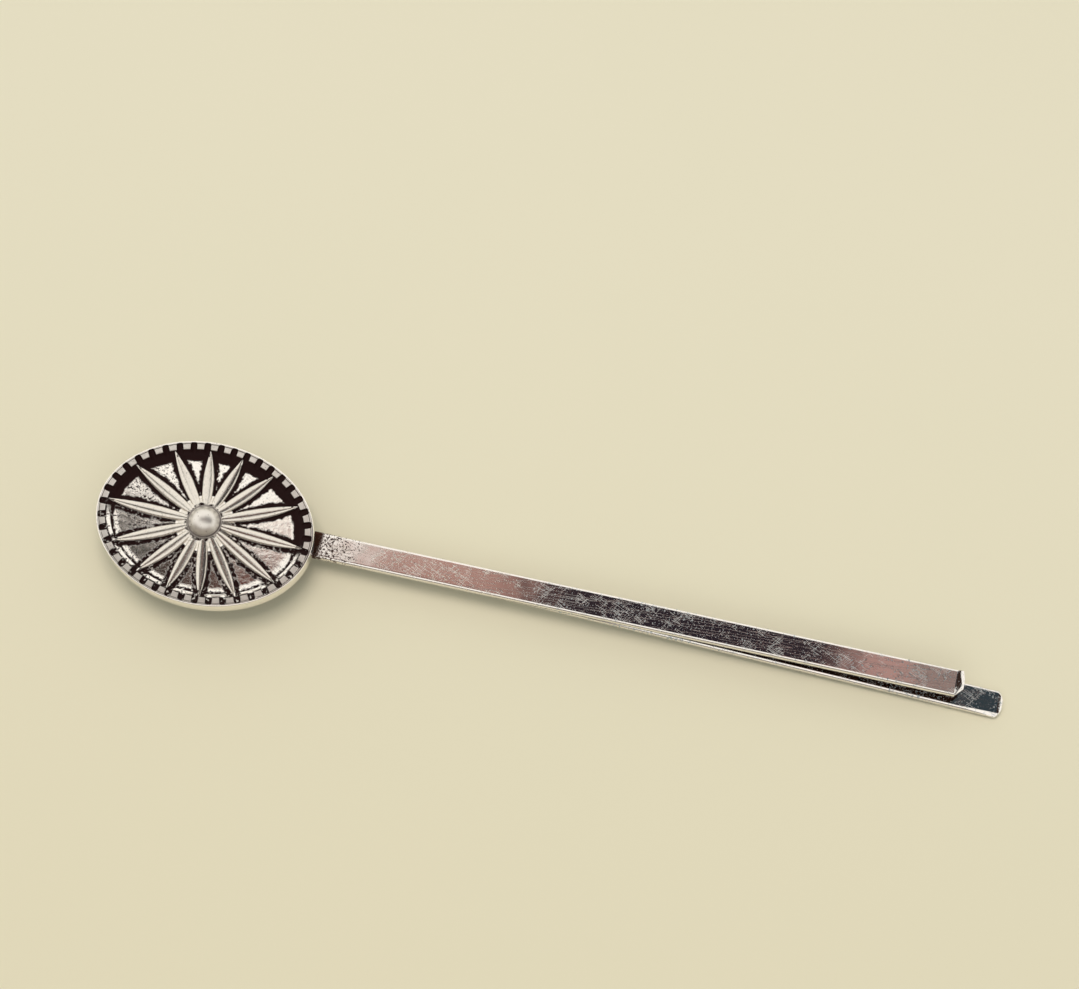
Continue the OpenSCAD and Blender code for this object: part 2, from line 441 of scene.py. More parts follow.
@dataclass(frozen=True)
class PlatedSteel:
    """Bright nickel-toned plating on the strip and its pad, dulled where dirt gathers, with painted shade on downward
    faces and along the crease between the legs.
    """

    colour: Colour = (0.90, 0.875, 0.85)
    fleck_colour: Colour = (0.86, 0.77, 0.66)
    cold_fleck: Colour = (0.46, 0.52, 0.55)
    # Colour of patchy dirt and of painted shade.
    dirt_and_shade_colour: Colour = (0.05, 0.022, 0.015)
    roughness: float = 0.075
    fleck_roughness: float = 0.5
    cover: float = 0.42
    dirt_and_shade: float = 0.0
    crevice_z: float = -1.0
    root_x: float = -100.0

    def build(self, name: str, marks: bpy.types.NodeTree) -> bpy.types.Material:
        """Makes the material.

        Args:
            name: The material's name.
            marks: The handling marks group.

        Returns:
            The material.
        """
        material = bpy.data.materials.new(name)
        material.use_nodes = True
        sheet = Sheet(material.node_tree)
        shader = material.node_tree.nodes["Principled BSDF"]
        where = sheet.placed(Vector(), 0.0)
        group = sheet.node("ShaderNodeGroup", node_tree=marks)
        sheet.feed(group.inputs["Vector"], where)
        patches = sheet.noise(where, 0.35, 3.0)
        sheet.feed(group.inputs["Cover"], sheet.math("MULTIPLY", patches, 2 * self.cover))
        flecks, scratches = group.outputs["Flecks"], group.outputs["Scratches"]
        wear = sheet.math("MAXIMUM", flecks, sheet.math("MULTIPLY", scratches, 0.85))
        axes = sheet.node("ShaderNodeSeparateXYZ", {0: where})
        along, up = axes.outputs[0], axes.outputs[2]
        # The flecks are real pits; their turn to a cold blue-grey towards the tip is a painted reflection.
        cold = sheet.step(sheet.math("ADD", along, sheet.math("MULTIPLY", patches, 8.0)), 0.0, 5.0)
        colour = sheet.mix(wear, self.colour, sheet.mix(cold, self.fleck_colour, self.cold_fleck))
        rough = sheet.node(
            "ShaderNodeMapRange",
            {"Value": wear, "To Min": self.roughness, "To Max": self.fleck_roughness},
        ).outputs["Result"]
        # Dark mask: painted shade on downward faces, with patchy dirt.
        dirt_and_shade = self.dirt_and_shade_mask(sheet, where)
        pits = sheet.noise(where, 6.0, 3.0, 0.7)
        # A ragged dark band on the leg just past the medallion's edge, with pits crowding towards it.
        past = sheet.math("ADD", sheet.math("SUBTRACT", along, self.root_x), sheet.math("MULTIPLY", patches, 0.9))
        ragged = sheet.math("ADD", past, sheet.math("MULTIPLY", sheet.math("SUBTRACT", pits, 0.5), 1.6))
        dirt_and_shade = sheet.math("MAXIMUM", dirt_and_shade, sheet.step(ragged, 0.74, 0.54))
        closeness = sheet.math("MULTIPLY", sheet.step(past, 3.9, 0.8), 0.06)
        pitted = sheet.math("MULTIPLY", sheet.step(past, 4.2, 3.0), sheet.step(sheet.math("ADD", pits, closeness), 0.56, 0.62))
        dirt_and_shade = sheet.math("MAXIMUM", dirt_and_shade, sheet.math("MULTIPLY", pitted, 0.95))
        # Painted shade along the crease between the legs: the side wall below crevice_z is darkened past x = -1 mm,
        # fading in from -6 mm.
        low = sheet.math("ADD", up, sheet.math("MULTIPLY", sheet.math("SUBTRACT", pits, 0.5), 0.35))
        crevice = sheet.math("MULTIPLY", sheet.step(low, self.crevice_z + 0.04, self.crevice_z - 0.04), sheet.step(along, -6.0, -1.0))
        dirt_and_shade = sheet.math("MAXIMUM", dirt_and_shade, crevice)
        sheet.feed(shader.inputs["Base Color"], sheet.mix(dirt_and_shade, colour, self.dirt_and_shade_colour))
        sheet.feed(shader.inputs["Roughness"], sheet.math("ADD", rough, sheet.math("MULTIPLY", dirt_and_shade, 0.3)))
        shader.inputs["Metallic"].default_value = 1.0
        waves = sheet.noise(where, 0.45, 1.0)
        soft = sheet.node("ShaderNodeBump", {"Height": waves, "Strength": 1.0, "Distance": 0.000008})
        fine = sheet.math("ADD", sheet.math("MULTIPLY", flecks, 0.6), scratches)
        bump = sheet.node(
            "ShaderNodeBump",
            {"Height": fine, "Strength": 0.6, "Distance": 0.000006, "Normal": soft.outputs[0]},
            invert=True,
        )
        sheet.feed(shader.inputs["Normal"], bump.outputs[0])
        return material

    def dirt_and_shade_mask(self, sheet: Sheet, where: bpy.types.NodeSocket) -> bpy.types.NodeSocket:
        """Gives painted shade on downward faces, patchily, where shade falls under and between the legs, joined with
        patchy dirt.

        Args:
            sheet: The node tree to draw in.
            where: Coordinates in millimetres.

        Returns:
            The mask's socket.
        """
        facing = sheet.node("ShaderNodeTexCoord").outputs["Normal"]
        # Painted shade: faces turned downwards are darkened.
        down = sheet.step(sheet.node("ShaderNodeSeparateXYZ", {0: facing}).outputs[2], -0.3, -0.8)
        spread = sheet.math("ADD", sheet.noise(where, 2.6, 4.0, 0.65), self.dirt_and_shade - 0.5)
        settled = sheet.math("MULTIPLY", down, sheet.step(sheet.noise(where, 1.6, 4.0, 0.7), 0.40, 0.50))
        return sheet.math("MAXIMUM", sheet.math("MULTIPLY", settled, 0.85), sheet.step(spread, 0.48, 0.56))


@dataclass(frozen=True)
class SetAdhesive:
    """Cured clear adhesive, slightly yellowed and cloudy."""

    colour: Colour = (0.72, 0.68, 0.55)
    cloud_colour: Colour = (0.55, 0.50, 0.38)
    roughness: float = 0.22

    def build(self) -> bpy.types.Material:
        """Makes the material."""
        material = bpy.data.materials.new("Set adhesive")
        material.use_nodes = True
        sheet = Sheet(material.node_tree)
        shader = material.node_tree.nodes["Principled BSDF"]
        shader.inputs["Roughness"].default_value = self.roughness
        where = sheet.placed(Vector(), 0.0)
        cloud = sheet.noise(where, 1.3, 4.0)
        sheet.feed(shader.inputs["Base Color"], sheet.mix(cloud, self.colour, self.cloud_colour))
        bump = sheet.node("ShaderNodeBump", {"Height": cloud, "Strength": 0.4, "Distance": 0.00005})
        sheet.feed(shader.inputs["Normal"], bump.outputs[0])
        return material


# ---------------------------------------------------------------- sub-assemblies


@dataclass
class SpringStrip:
    """The folded strip: upper leg, bend and lower leg. Reaches are measured from the medallion's centre."""

    finish: bpy.types.Material
    worn_finish: bpy.types.Material
    medallion_x: float
    edge_round: float = 0.22
    edge_steps: int = 5
    tip_roll: float = 0.45
    rise_start: float = -1.6
    rise_end: float = 7.5
    rise_steps: int = 18
    rise_height: float = 1.01
    parting: float = 21.0
    side_step: float = 0.19
    lean: float = 0.95
    bend_steps: int = 40
    nose_stations: tuple[tuple[float, float, float], ...] = (
        (0.2, 0.95, 0.97),
        (0.4, 0.87, 0.90),
        (0.6, 0.75, 0.81),
        (0.78, 0.58, 0.70),
        (0.92, 0.38, 0.58),
        (1.0, 0.20, 0.48),
    )
    end_cuts: tuple[tuple[float, float, float], ...] = ((0.0, 0.1, 3.0), (-0.03, 0.45, 17.0), (0.0, -0.3, -41.0))
    facet_length: float = 0.64
    facet_slope: float = 22.0
    arris: float = 0.02
    worn_tilt: float = 24.0
    worn_width: float = 0.34
    worn_length: float = 6.0

    def rounded_start(self, name: str, low: Vector, high: Vector) -> Workpiece:
        """Makes a short length of strip with its long edges rounded.

        Args:
            name: The piece's name.
            low: Its lowest corner.
            high: Its highest corner.

        Returns:
            The piece.
        """
        piece = Workpiece.block(name, low, high)
        with piece.editing():
            piece.pick(Part.EDGES, lambda centre, along: abs(along.x) > 0.9)
            piece.bevel(self.edge_round, self.edge_steps)
        return piece

    def round_nose(self, piece: Workpiece, start: Vector, direction: Vector) -> None:
        """Draws the picked end of a leg out to a rounded nose.

        Args:
            piece: The leg, in edit mode with its end face picked.
            start: The middle of that end.
            direction: The leg's direction, one millimetre long along X.
        """
        at = 0.0
        width = thickness = 1.0
        for share, next_width, next_thickness in self.nose_stations:
            piece.extrude(direction * (share - at) * self.tip_roll)
            at = share
            piece.resize(
                (1.0, next_width / width, next_thickness / thickness), start + direction * at * self.tip_roll
            )
            width, thickness = next_width, next_thickness

    def upper_leg(self) -> bpy.types.Object:
        """Makes the straight upper leg."""
        low, high = node_box("upper_leg")
        piece = self.rounded_start("upper_leg_strip", low, high)
        middle = (low + high) / 2
        tip = Vector((high.x, middle.y, high.z))
        with piece.editing():
            for back, aside, turn in self.end_cuts:
                heading = math.radians(turn)
                piece.cut(tip + Vector((back, aside, 0.0)), Vector((math.cos(heading), math.sin(heading), 0.0)))
            slope = math.radians(self.facet_slope)
            piece.cut(tip - Vector((self.facet_length, 0.0, 0.0)), Vector((math.sin(slope), 0.0, math.cos(slope))))
            piece.pick(
                Part.EDGES,
                lambda centre, along: centre.x > tip.x - 0.5 and centre.z > high.z - 0.3 and abs(along.z) < 0.4 and abs(along.x) < 0.8,
            )
            piece.bevel(self.arris, 2)
            piece.heal_normals()
        return piece.to_frame(28.0)

    def bend(self) -> bpy.types.Object:
        """Makes the half-turn that joins the legs."""
        low, high = node_box("spring_bend")
        leg_low, leg_high = node_box("upper_leg")
        thickness = leg_high.z - leg_low.z
        axis = Vector((high.x, (low.y + high.y) / 2, (low.z + high.z) / 2))
        start_low = Vector((high.x - 0.2, low.y, high.z - thickness))
        piece = self.rounded_start("spring_bend_strip", start_low, Vector((high.x, high.y, high.z)))
        with piece.editing():
            piece.pick(Part.FACES, lambda centre, normal: not normal.x > 0.9)
            bpy.ops.mesh.delete(type="FACE")
            bpy.ops.mesh.select_all(action="SELECT")
            bpy.ops.mesh.spin(steps=self.bend_steps, angle=-math.pi, center=axis, axis=(0.0, 1.0, 0.0))
            piece.heal_normals()
        return piece.to_frame(28.0)

    def course(self, reach: float, tip_reach: float) -> Vector:
        """Gives the lower leg's middle line at a reach.

        Args:
            reach: Distance past the medallion's centre.
            tip_reach: The same for the leg's tip.

        Returns:
            The reach, and how far the line has moved aside and up.
        """
        rising = min(max((reach - self.rise_start) / (self.rise_end - self.rise_start), 0.0), 1.0)
        share = (1 - math.cos(math.pi * rising)) / 2
        falling = (tip_reach - reach) / (tip_reach - self.parting)
        leaning = max(0.0, reach - self.parting) * math.tan(math.radians(self.lean))
        return Vector((reach, self.side_step * share - leaning, self.rise_height * min(share, falling)))

    def lower_leg(self) -> bpy.types.Object:
        """Makes the lower leg: out of the bend, up to the pinch, along, then down and aside to its tip."""
        low, high = node_box("lower_leg")
        upper_low, upper_high = node_box("upper_leg")
        width = upper_high.y - upper_low.y
        thickness = upper_high.z - upper_low.z
        tip_reach = high.x - self.medallion_x
        start_x = self.medallion_x + self.rise_start
        body_end = high.x - self.tip_roll
        piece = self.rounded_start(
            "lower_leg_strip",
            Vector((low.x, upper_low.y, low.z)),
            Vector((start_x, upper_high.y, low.z + thickness)),
        )
        end = Vector((start_x, (upper_low.y + upper_high.y) / 2, low.z + thickness / 2))
        step = (self.rise_end - self.rise_start) / self.rise_steps
        stations = [self.rise_start + i * step for i in range(self.rise_steps + 1)] + [self.parting]
        with piece.editing():
            piece.pick(Part.FACES, lambda centre, normal: normal.x > 0.9)
            for before, after in zip(stations, stations[1:]):
                move = self.course(after, tip_reach) - self.course(before, tip_reach)
                piece.extrude(move)
                end += move
            direction = self.course(self.parting + 1, tip_reach) - self.course(self.parting, tip_reach)
            piece.extrude(direction * (body_end - end.x))
            end += direction * (body_end - end.x)
            self.round_nose(piece, end, direction)
            self.worn_corner(piece, end + Vector((0.0, (self.worn_width - width / 2), thickness / 2)), direction)
            piece.heal_normals()
        return piece.to_frame(28.0)

    def worn_corner(self, piece: Workpiece, point: Vector, direction: Vector) -> None:
        """Flattens the near upper edge towards the tip.

        Args:
            piece: The leg, in edit mode.
            point: Where the flat meets the top at the tip.
            direction: The leg's direction, one millimetre long along X.
        """
        tilt = math.radians(self.worn_tilt)
        outward = Vector((0.0, -math.sin(tilt), math.cos(tilt)))
        outward.x = math.sin(tilt) * self.worn_width / self.worn_length - outward.dot(direction)
        piece.cut(point, outward)

    def build(self) -> list[bpy.types.Object]:
        """Makes and dresses the three pieces.

        Returns:
            The pieces.
        """
        upper, bend, lower = self.upper_leg(), self.bend(), self.lower_leg()
        for piece, node in ((upper, "upper_leg"), (bend, "spring_bend"), (lower, "lower_leg")):
            piece.data.materials.append(self.worn_finish if piece is lower else self.finish)
            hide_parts(node)
        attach(upper, FIXED_BODY)
        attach(lower, SPRUNG_BODY)
        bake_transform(bend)
        return [upper, bend, lower]


@dataclass
class PadMount:
    """The round pad on the upper leg and the adhesive on it."""

    pad_finish: bpy.types.Material
    adhesive_finish: bpy.types.Material
    steps: int = 96
    rim_round: float = 0.09
    step_width: float = 0.55
    step_height: float = 0.05

    def pad(self) -> bpy.types.Object:
        """Makes the pad, with a rounded rim and a raised ring under it."""
        low, high = node_box("glue_pad")
        radius = (high.x - low.x) / 2
        piece = Workpiece.disc("glue_pad_disc", radius, low.z, high.z, self.steps, (low + high) / 2)
        with piece.editing():
            piece.pick(Part.FACES, lambda centre, normal: abs(normal.z) > 0.9 and centre.z > low.z)
            bpy.ops.mesh.inset(thickness=self.step_width, depth=-self.step_height)
            piece.pick(
                Part.EDGES,
                lambda centre, along: (centre.xy - ((low + high) / 2).xy).length > radius - 0.1 and abs(along.z) < 0.5,
            )
            piece.bevel(self.rim_round, 3)
            piece.heal_normals()
        return piece.to_frame(35.0)

    def adhesive(self) -> bpy.types.Object:
        """Makes the squeezed-out layer of adhesive."""
        low, high = node_box("adhesive_bed")
        radius = (high.x - low.x) / 2
        piece = Workpiece.disc("adhesive_layer", radius, low.z, high.z, self.steps, (low + high) / 2)
        with piece.editing():
            piece.pick(Part.FACES, lambda centre, normal: abs(normal.z) < 0.5)
            bpy.ops.mesh.inset(thickness=0.03, depth=0.0)
            piece.pick(Part.FACES, lambda centre, normal: abs(normal.z) > 0.9)
            bpy.ops.mesh.inset(thickness=0.6, depth=0.0)
            piece.pick(
                Part.EDGES,
                lambda centre, along: (centre.xy - ((low + high) / 2).xy).length > radius - 0.1 and abs(along.z) < 0.5,
            )
            piece.bevel(0.03, 2)
            piece.heal_normals()
        return piece.to_frame(60.0)

    def build(self) -> list[bpy.types.Object]:
        """Makes and dresses both pieces.

        Returns:
            The pieces.
        """
        pad, adhesive = self.pad(), self.adhesive()
        pad.data.materials.append(self.pad_finish)
        adhesive.data.materials.append(self.adhesive_finish)
        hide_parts("glue_pad")
        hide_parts("adhesive_bed")
        for piece in (pad, adhesive):
            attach(piece, FIXED_BODY)
        return [pad, adhesive]


@dataclass(frozen=True)
class MedallionForm:
    """The medallion's shape, in its own frame: origin at the middle of its back, long axis along X."""

    centre: Vector
    half_long: float
    turn: float = -2.5
    half_short: float = 5.85
    height: float = 1.25
    border: float = 0.62
    bevel: float = 1.0
    floor_edge: float = 0.9
    floor_rise: float = 0.08
    petals: int = 14
    petal_half_width: float = 0.41
    petal_inner: float = 0.3
    ridge_start: float = 1.25
    ridge_inner: float = 1.6
    ridge_outer: float = 1.2
    notches: int = 41
    notch_start: float = 6.8
    notch_swing: float = 4.0
    boss_top: float = 1.42
    boss_radius: float = 1.3
    boss_foot: float = 2.05
    bead_radius: float = 1.09
    bead_height: float = 0.85
    collar_height: float = 0.1
    collar_width: float = 0.11

    def reach(self, angle: float) -> float:
        """Gives how far the border's inner edge lies from the middle at an angle in radians."""
        a, b = self.half_long - self.border, self.half_short - self.border
        return 1 / math.hypot(math.cos(angle) / a, math.sin(angle) / b)


@dataclass(frozen=True)
class AntiqueSilver:
    """Bright metal on the high points over a blackened ground, with a painted dark reflection on the far half."""

    form: MedallionForm
    bright: Colour = (0.93, 0.90, 0.86)
    raised: Colour = (0.80, 0.76, 0.70)
    dull: Colour = (0.56, 0.52, 0.47)
    # Colour of the blackened patina and of the far half's painted dark reflection.
    patina_and_dark_reflection: Colour = (0.012, 0.003, 0.003)
    roughness: float = 0.1
    patina_and_dark_reflection_roughness: float = 0.5

    def petal_gap(self, sheet: Sheet, where: bpy.types.NodeSocket) -> bpy.types.NodeSocket:
        """Gives the distance from the nearest petal's side, in millimetres; below 0 on a petal.

        Args:
            sheet: The node tree to draw in.
            where: Coordinates in the medallion's frame.

        Returns:
            The distance's socket.
        """
        form = self.form
        axes = sheet.node("ShaderNodeSeparateXYZ", {0: where})
        x, y = axes.outputs[0], axes.outputs[1]
        angle = sheet.math("ARCTAN2", y, x)
        pitch = math.tau / form.petals
        nearest = sheet.math("MULTIPLY", sheet.math("ROUND", sheet.math("DIVIDE", angle, pitch)), pitch)
        cosine, sine = sheet.math("COSINE", nearest), sheet.math("SINE", nearest)
        along = sheet.math("ADD", sheet.math("MULTIPLY", x, cosine), sheet.math("MULTIPLY", y, sine))
        across = sheet.math(
            "ABSOLUTE", sheet.math("SUBTRACT", sheet.math("MULTIPLY", y, cosine), sheet.math("MULTIPLY", x, sine))
        )
        a, b = form.half_long - form.border, form.half_short - form.border
        squares = sheet.math(
            "ADD",
            sheet.math("POWER", sheet.math("DIVIDE", cosine, a), 2.0),
            sheet.math("POWER", sheet.math("DIVIDE", sine, b), 2.0),
        )
        reach = sheet.math("INVERSE_SQRT", squares)
        middle = sheet.math("MULTIPLY", sheet.math("ADD", reach, form.petal_inner), 0.5)
        half = sheet.math("MULTIPLY", sheet.math("SUBTRACT", reach, form.petal_inner), 0.5)
        share = sheet.math("DIVIDE", sheet.math("SUBTRACT", along, middle), half)
        taper = sheet.math("SUBTRACT", 1.0, sheet.math("MULTIPLY", share, share), clamp=True)
        return sheet.math("SUBTRACT", across, sheet.math("MULTIPLY", taper, form.petal_half_width))

    def inset(self, sheet: Sheet, x: bpy.types.NodeSocket, y: bpy.types.NodeSocket) -> bpy.types.NodeSocket:
        """Gives how far in from the oval edge a point lies, in millimetres.

        Args:
            sheet: The node tree to draw in.
            x: Place along the long axis.
            y: Place along the short axis.

        Returns:
            The distance's socket.
        """
        a, b = self.form.half_long, self.form.half_short

        def length(first: float, second: float) -> bpy.types.NodeSocket:
            """Gives the length of the point with its axes divided."""
            parts = [sheet.math("POWER", sheet.math("DIVIDE", axis, by), 2.0) for axis, by in ((x, first), (y, second))]
            return sheet.math("SQRT", sheet.math("ADD", *parts))

        share, steepness = length(a, b), length(a * a, b * b)
        return sheet.math("DIVIDE", sheet.math("MULTIPLY", sheet.math("SUBTRACT", 1.0, share), share), steepness)

    def build(self, name: str, marks: bpy.types.NodeTree) -> bpy.types.Material:
        """Makes the material.

        Args:
            name: The material's name.
            marks: The handling marks group.

        Returns:
            The material.
        """
        form = self.form
        material = bpy.data.materials.new(name)
        material.use_nodes = True
        sheet = Sheet(material.node_tree)
        shader = material.node_tree.nodes["Principled BSDF"]
        where = sheet.placed(form.centre, form.turn)
        axes = sheet.node("ShaderNodeSeparateXYZ", {0: where})
        x, y, z = axes.outputs[0], axes.outputs[1], axes.outputs[2]
        ragged = sheet.math("MULTIPLY", sheet.math("SUBTRACT", sheet.noise(where, 2.2, 4.0), 0.5), 0.42)
        speckle = sheet.noise(where, 5.5, 4.0, 0.7)
        ragged = sheet.math("ADD", ragged, sheet.math("MULTIPLY", sheet.math("SUBTRACT", speckle, 0.5), 0.5))
        gap = self.petal_gap(sheet, where)
        floor_a, floor_b = form.half_long - form.bevel, form.half_short - form.bevel
        share = sheet.math(
            "SQRT",
            sheet.math(
                "ADD",
                sheet.math("POWER", sheet.math("DIVIDE", x, floor_a), 2.0),
                sheet.math("POWER", sheet.math("DIVIDE", y, floor_b), 2.0),
            ),
        )
        dome = sheet.math("MULTIPLY", sheet.math("SUBTRACT", 1.0, sheet.math("MULTIPLY", share, share)), form.floor_rise)
        floor_z = sheet.math("MAXIMUM", sheet.math("ADD", dome, form.floor_edge), form.floor_edge)
        above = sheet.math("SUBTRACT", z, floor_z)
        inset = self.inset(sheet, x, y)
        stripe = sheet.node(
            "ShaderNodeMapRange",
            {"Value": share, "From Min": 0.3, "From Max": 1.0, "To Min": 0.15, "To Max": 0.38},
        ).outputs["Result"]
        beside = sheet.step(sheet.math("SUBTRACT", sheet.math("ADD", gap, ragged), stripe), 0.05, -0.05)
        # Painted dark reflection: the far half is darkened on its bevel, with a wider dark floor corner and less
        # rubbing.
        far = sheet.step(sheet.math("ADD", y, sheet.math("MULTIPLY", ragged, 3.0)), -1.2, 0.2)
        reach = sheet.math("SUBTRACT", sheet.math("ADD", inset, sheet.math("MULTIPLY", ragged, 0.8)), sheet.math("MULTIPLY", far, 0.26))
        corner = sheet.step(reach, 1.2, 1.12)
        low_down = sheet.step(above, 0.12, 0.05)
        dirtier = sheet.math("MULTIPLY", sheet.step(x, -1.5, -4.5), 0.09)
        pits = sheet.step(sheet.math("ADD", speckle, dirtier), 0.62, 0.67)
        on_floor = sheet.math("MULTIPLY", sheet.math("MAXIMUM", sheet.math("MAXIMUM", beside, corner), pits), low_down)
        over_floor = sheet.step(inset, 0.98, 0.94)
        on_floor = sheet.math("MULTIPLY", on_floor, sheet.math("SUBTRACT", 1.0, over_floor))
        sunk = sheet.step(sheet.math("SUBTRACT", form.height, z), 0.015, 0.05)
        border = sheet.math("MULTIPLY", sheet.step(inset, 0.09, 0.12), sheet.step(inset, 0.74, 0.68))
        in_notches = sheet.math("MULTIPLY", border, sunk)
        tips = sheet.step(sheet.math("ADD", gap, sheet.math("MULTIPLY", ragged, 1.4)), 0.46, 0.38)
        fine_line = sheet.math("MULTIPLY", sheet.step(sheet.math("ADD", inset, sheet.math("MULTIPLY", ragged, 0.3)), 0.76, 0.72), 0.9)
        tips = sheet.math("MAXIMUM", tips, fine_line)
        off_petals = sheet.step(gap, -0.03, 0.02)
        on_bevel = sheet.math("MULTIPLY", sheet.math("MAXIMUM", far, tips), off_petals)
        on_bevel = sheet.math("MULTIPLY", sheet.math("MULTIPLY", on_bevel, over_floor), sheet.step(inset, 0.6, 0.64))
        # Patina in the hollows, joined with the far half's painted dark reflection.
        patina_and_dark_reflection = sheet.math("MAXIMUM", sheet.math("ADD", on_floor, on_bevel, clamp=True), in_notches)
        rubbed = sheet.step(sheet.noise(where, 4.6, 3.0, 0.6), 0.57, 0.63)
        rubbed = sheet.math("MULTIPLY", rubbed, sheet.math("SUBTRACT", 0.75, sheet.math("MULTIPLY", far, 0.75)))
        patina_and_dark_reflection = sheet.math("MULTIPLY", patina_and_dark_reflection, sheet.math("SUBTRACT", 1.0, rubbed))
        radius = sheet.math("SQRT", sheet.math("ADD", sheet.math("MULTIPLY", x, x), sheet.math("MULTIPLY", y, y)))
        foot = sheet.math("ADD", radius, sheet.math("MULTIPLY", ragged, 1.6))
        round_bead = sheet.math(
            "MULTIPLY", sheet.step(foot, form.boss_radius + 0.08, form.boss_radius - 0.06), sheet.step(z, form.boss_top + 0.05, form.boss_top)
        )
        patina_and_dark_reflection = sheet.math("MAXIMUM", patina_and_dark_reflection, round_bead)
        group = sheet.node("ShaderNodeGroup", node_tree=marks)
        sheet.feed(group.inputs["Vector"], where)
        group.inputs["Cover"].default_value = 0.32
        wear = sheet.math("MAXIMUM", sheet.math("MULTIPLY", group.outputs["Scratches"], 0.5), group.outputs["Flecks"])
        raised = sheet.math("MULTIPLY", sheet.step(above, 0.08, 0.2), sheet.step(inset, 0.7, 1.0))
        specks = sheet.math("MULTIPLY", sheet.math("MULTIPLY", raised, sheet.step(speckle, 0.61, 0.67)), 0.55)
        patina_and_dark_reflection = sheet.math("MAXIMUM", patina_and_dark_reflection, specks)
        metal = sheet.mix(wear, sheet.mix(raised, self.bright, self.raised), self.dull)
        sheet.feed(shader.inputs["Base Color"], sheet.mix(patina_and_dark_reflection, metal, self.patina_and_dark_reflection))
        sheet.feed(shader.inputs["Metallic"], sheet.math("SUBTRACT", 1.0, patina_and_dark_reflection))
        shader.inputs["Specular IOR Level"].default_value = 0.12
        duller = sheet.math("MAXIMUM", sheet.math("MULTIPLY", raised, 0.14), sheet.math("MULTIPLY", border, 0.2))
        metal_rough = sheet.math("ADD", duller, self.roughness)
        rough = sheet.node(
            "ShaderNodeMapRange", {"Value": patina_and_dark_reflection, "To Min": metal_rough, "To Max": self.patina_and_dark_reflection_roughness}
        )
        sheet.feed(shader.inputs["Roughness"], rough.outputs["Result"])
        cast = sheet.noise(where, 3.0, 4.0)
        height = sheet.math("SUBTRACT", cast, sheet.math("MULTIPLY", wear, 0.35))
        bump = sheet.node("ShaderNodeBump", {"Height": height, "Strength": 0.5, "Distance": 0.000012})
        sheet.feed(shader.inputs["Normal"], bump.outputs[0])
        return material


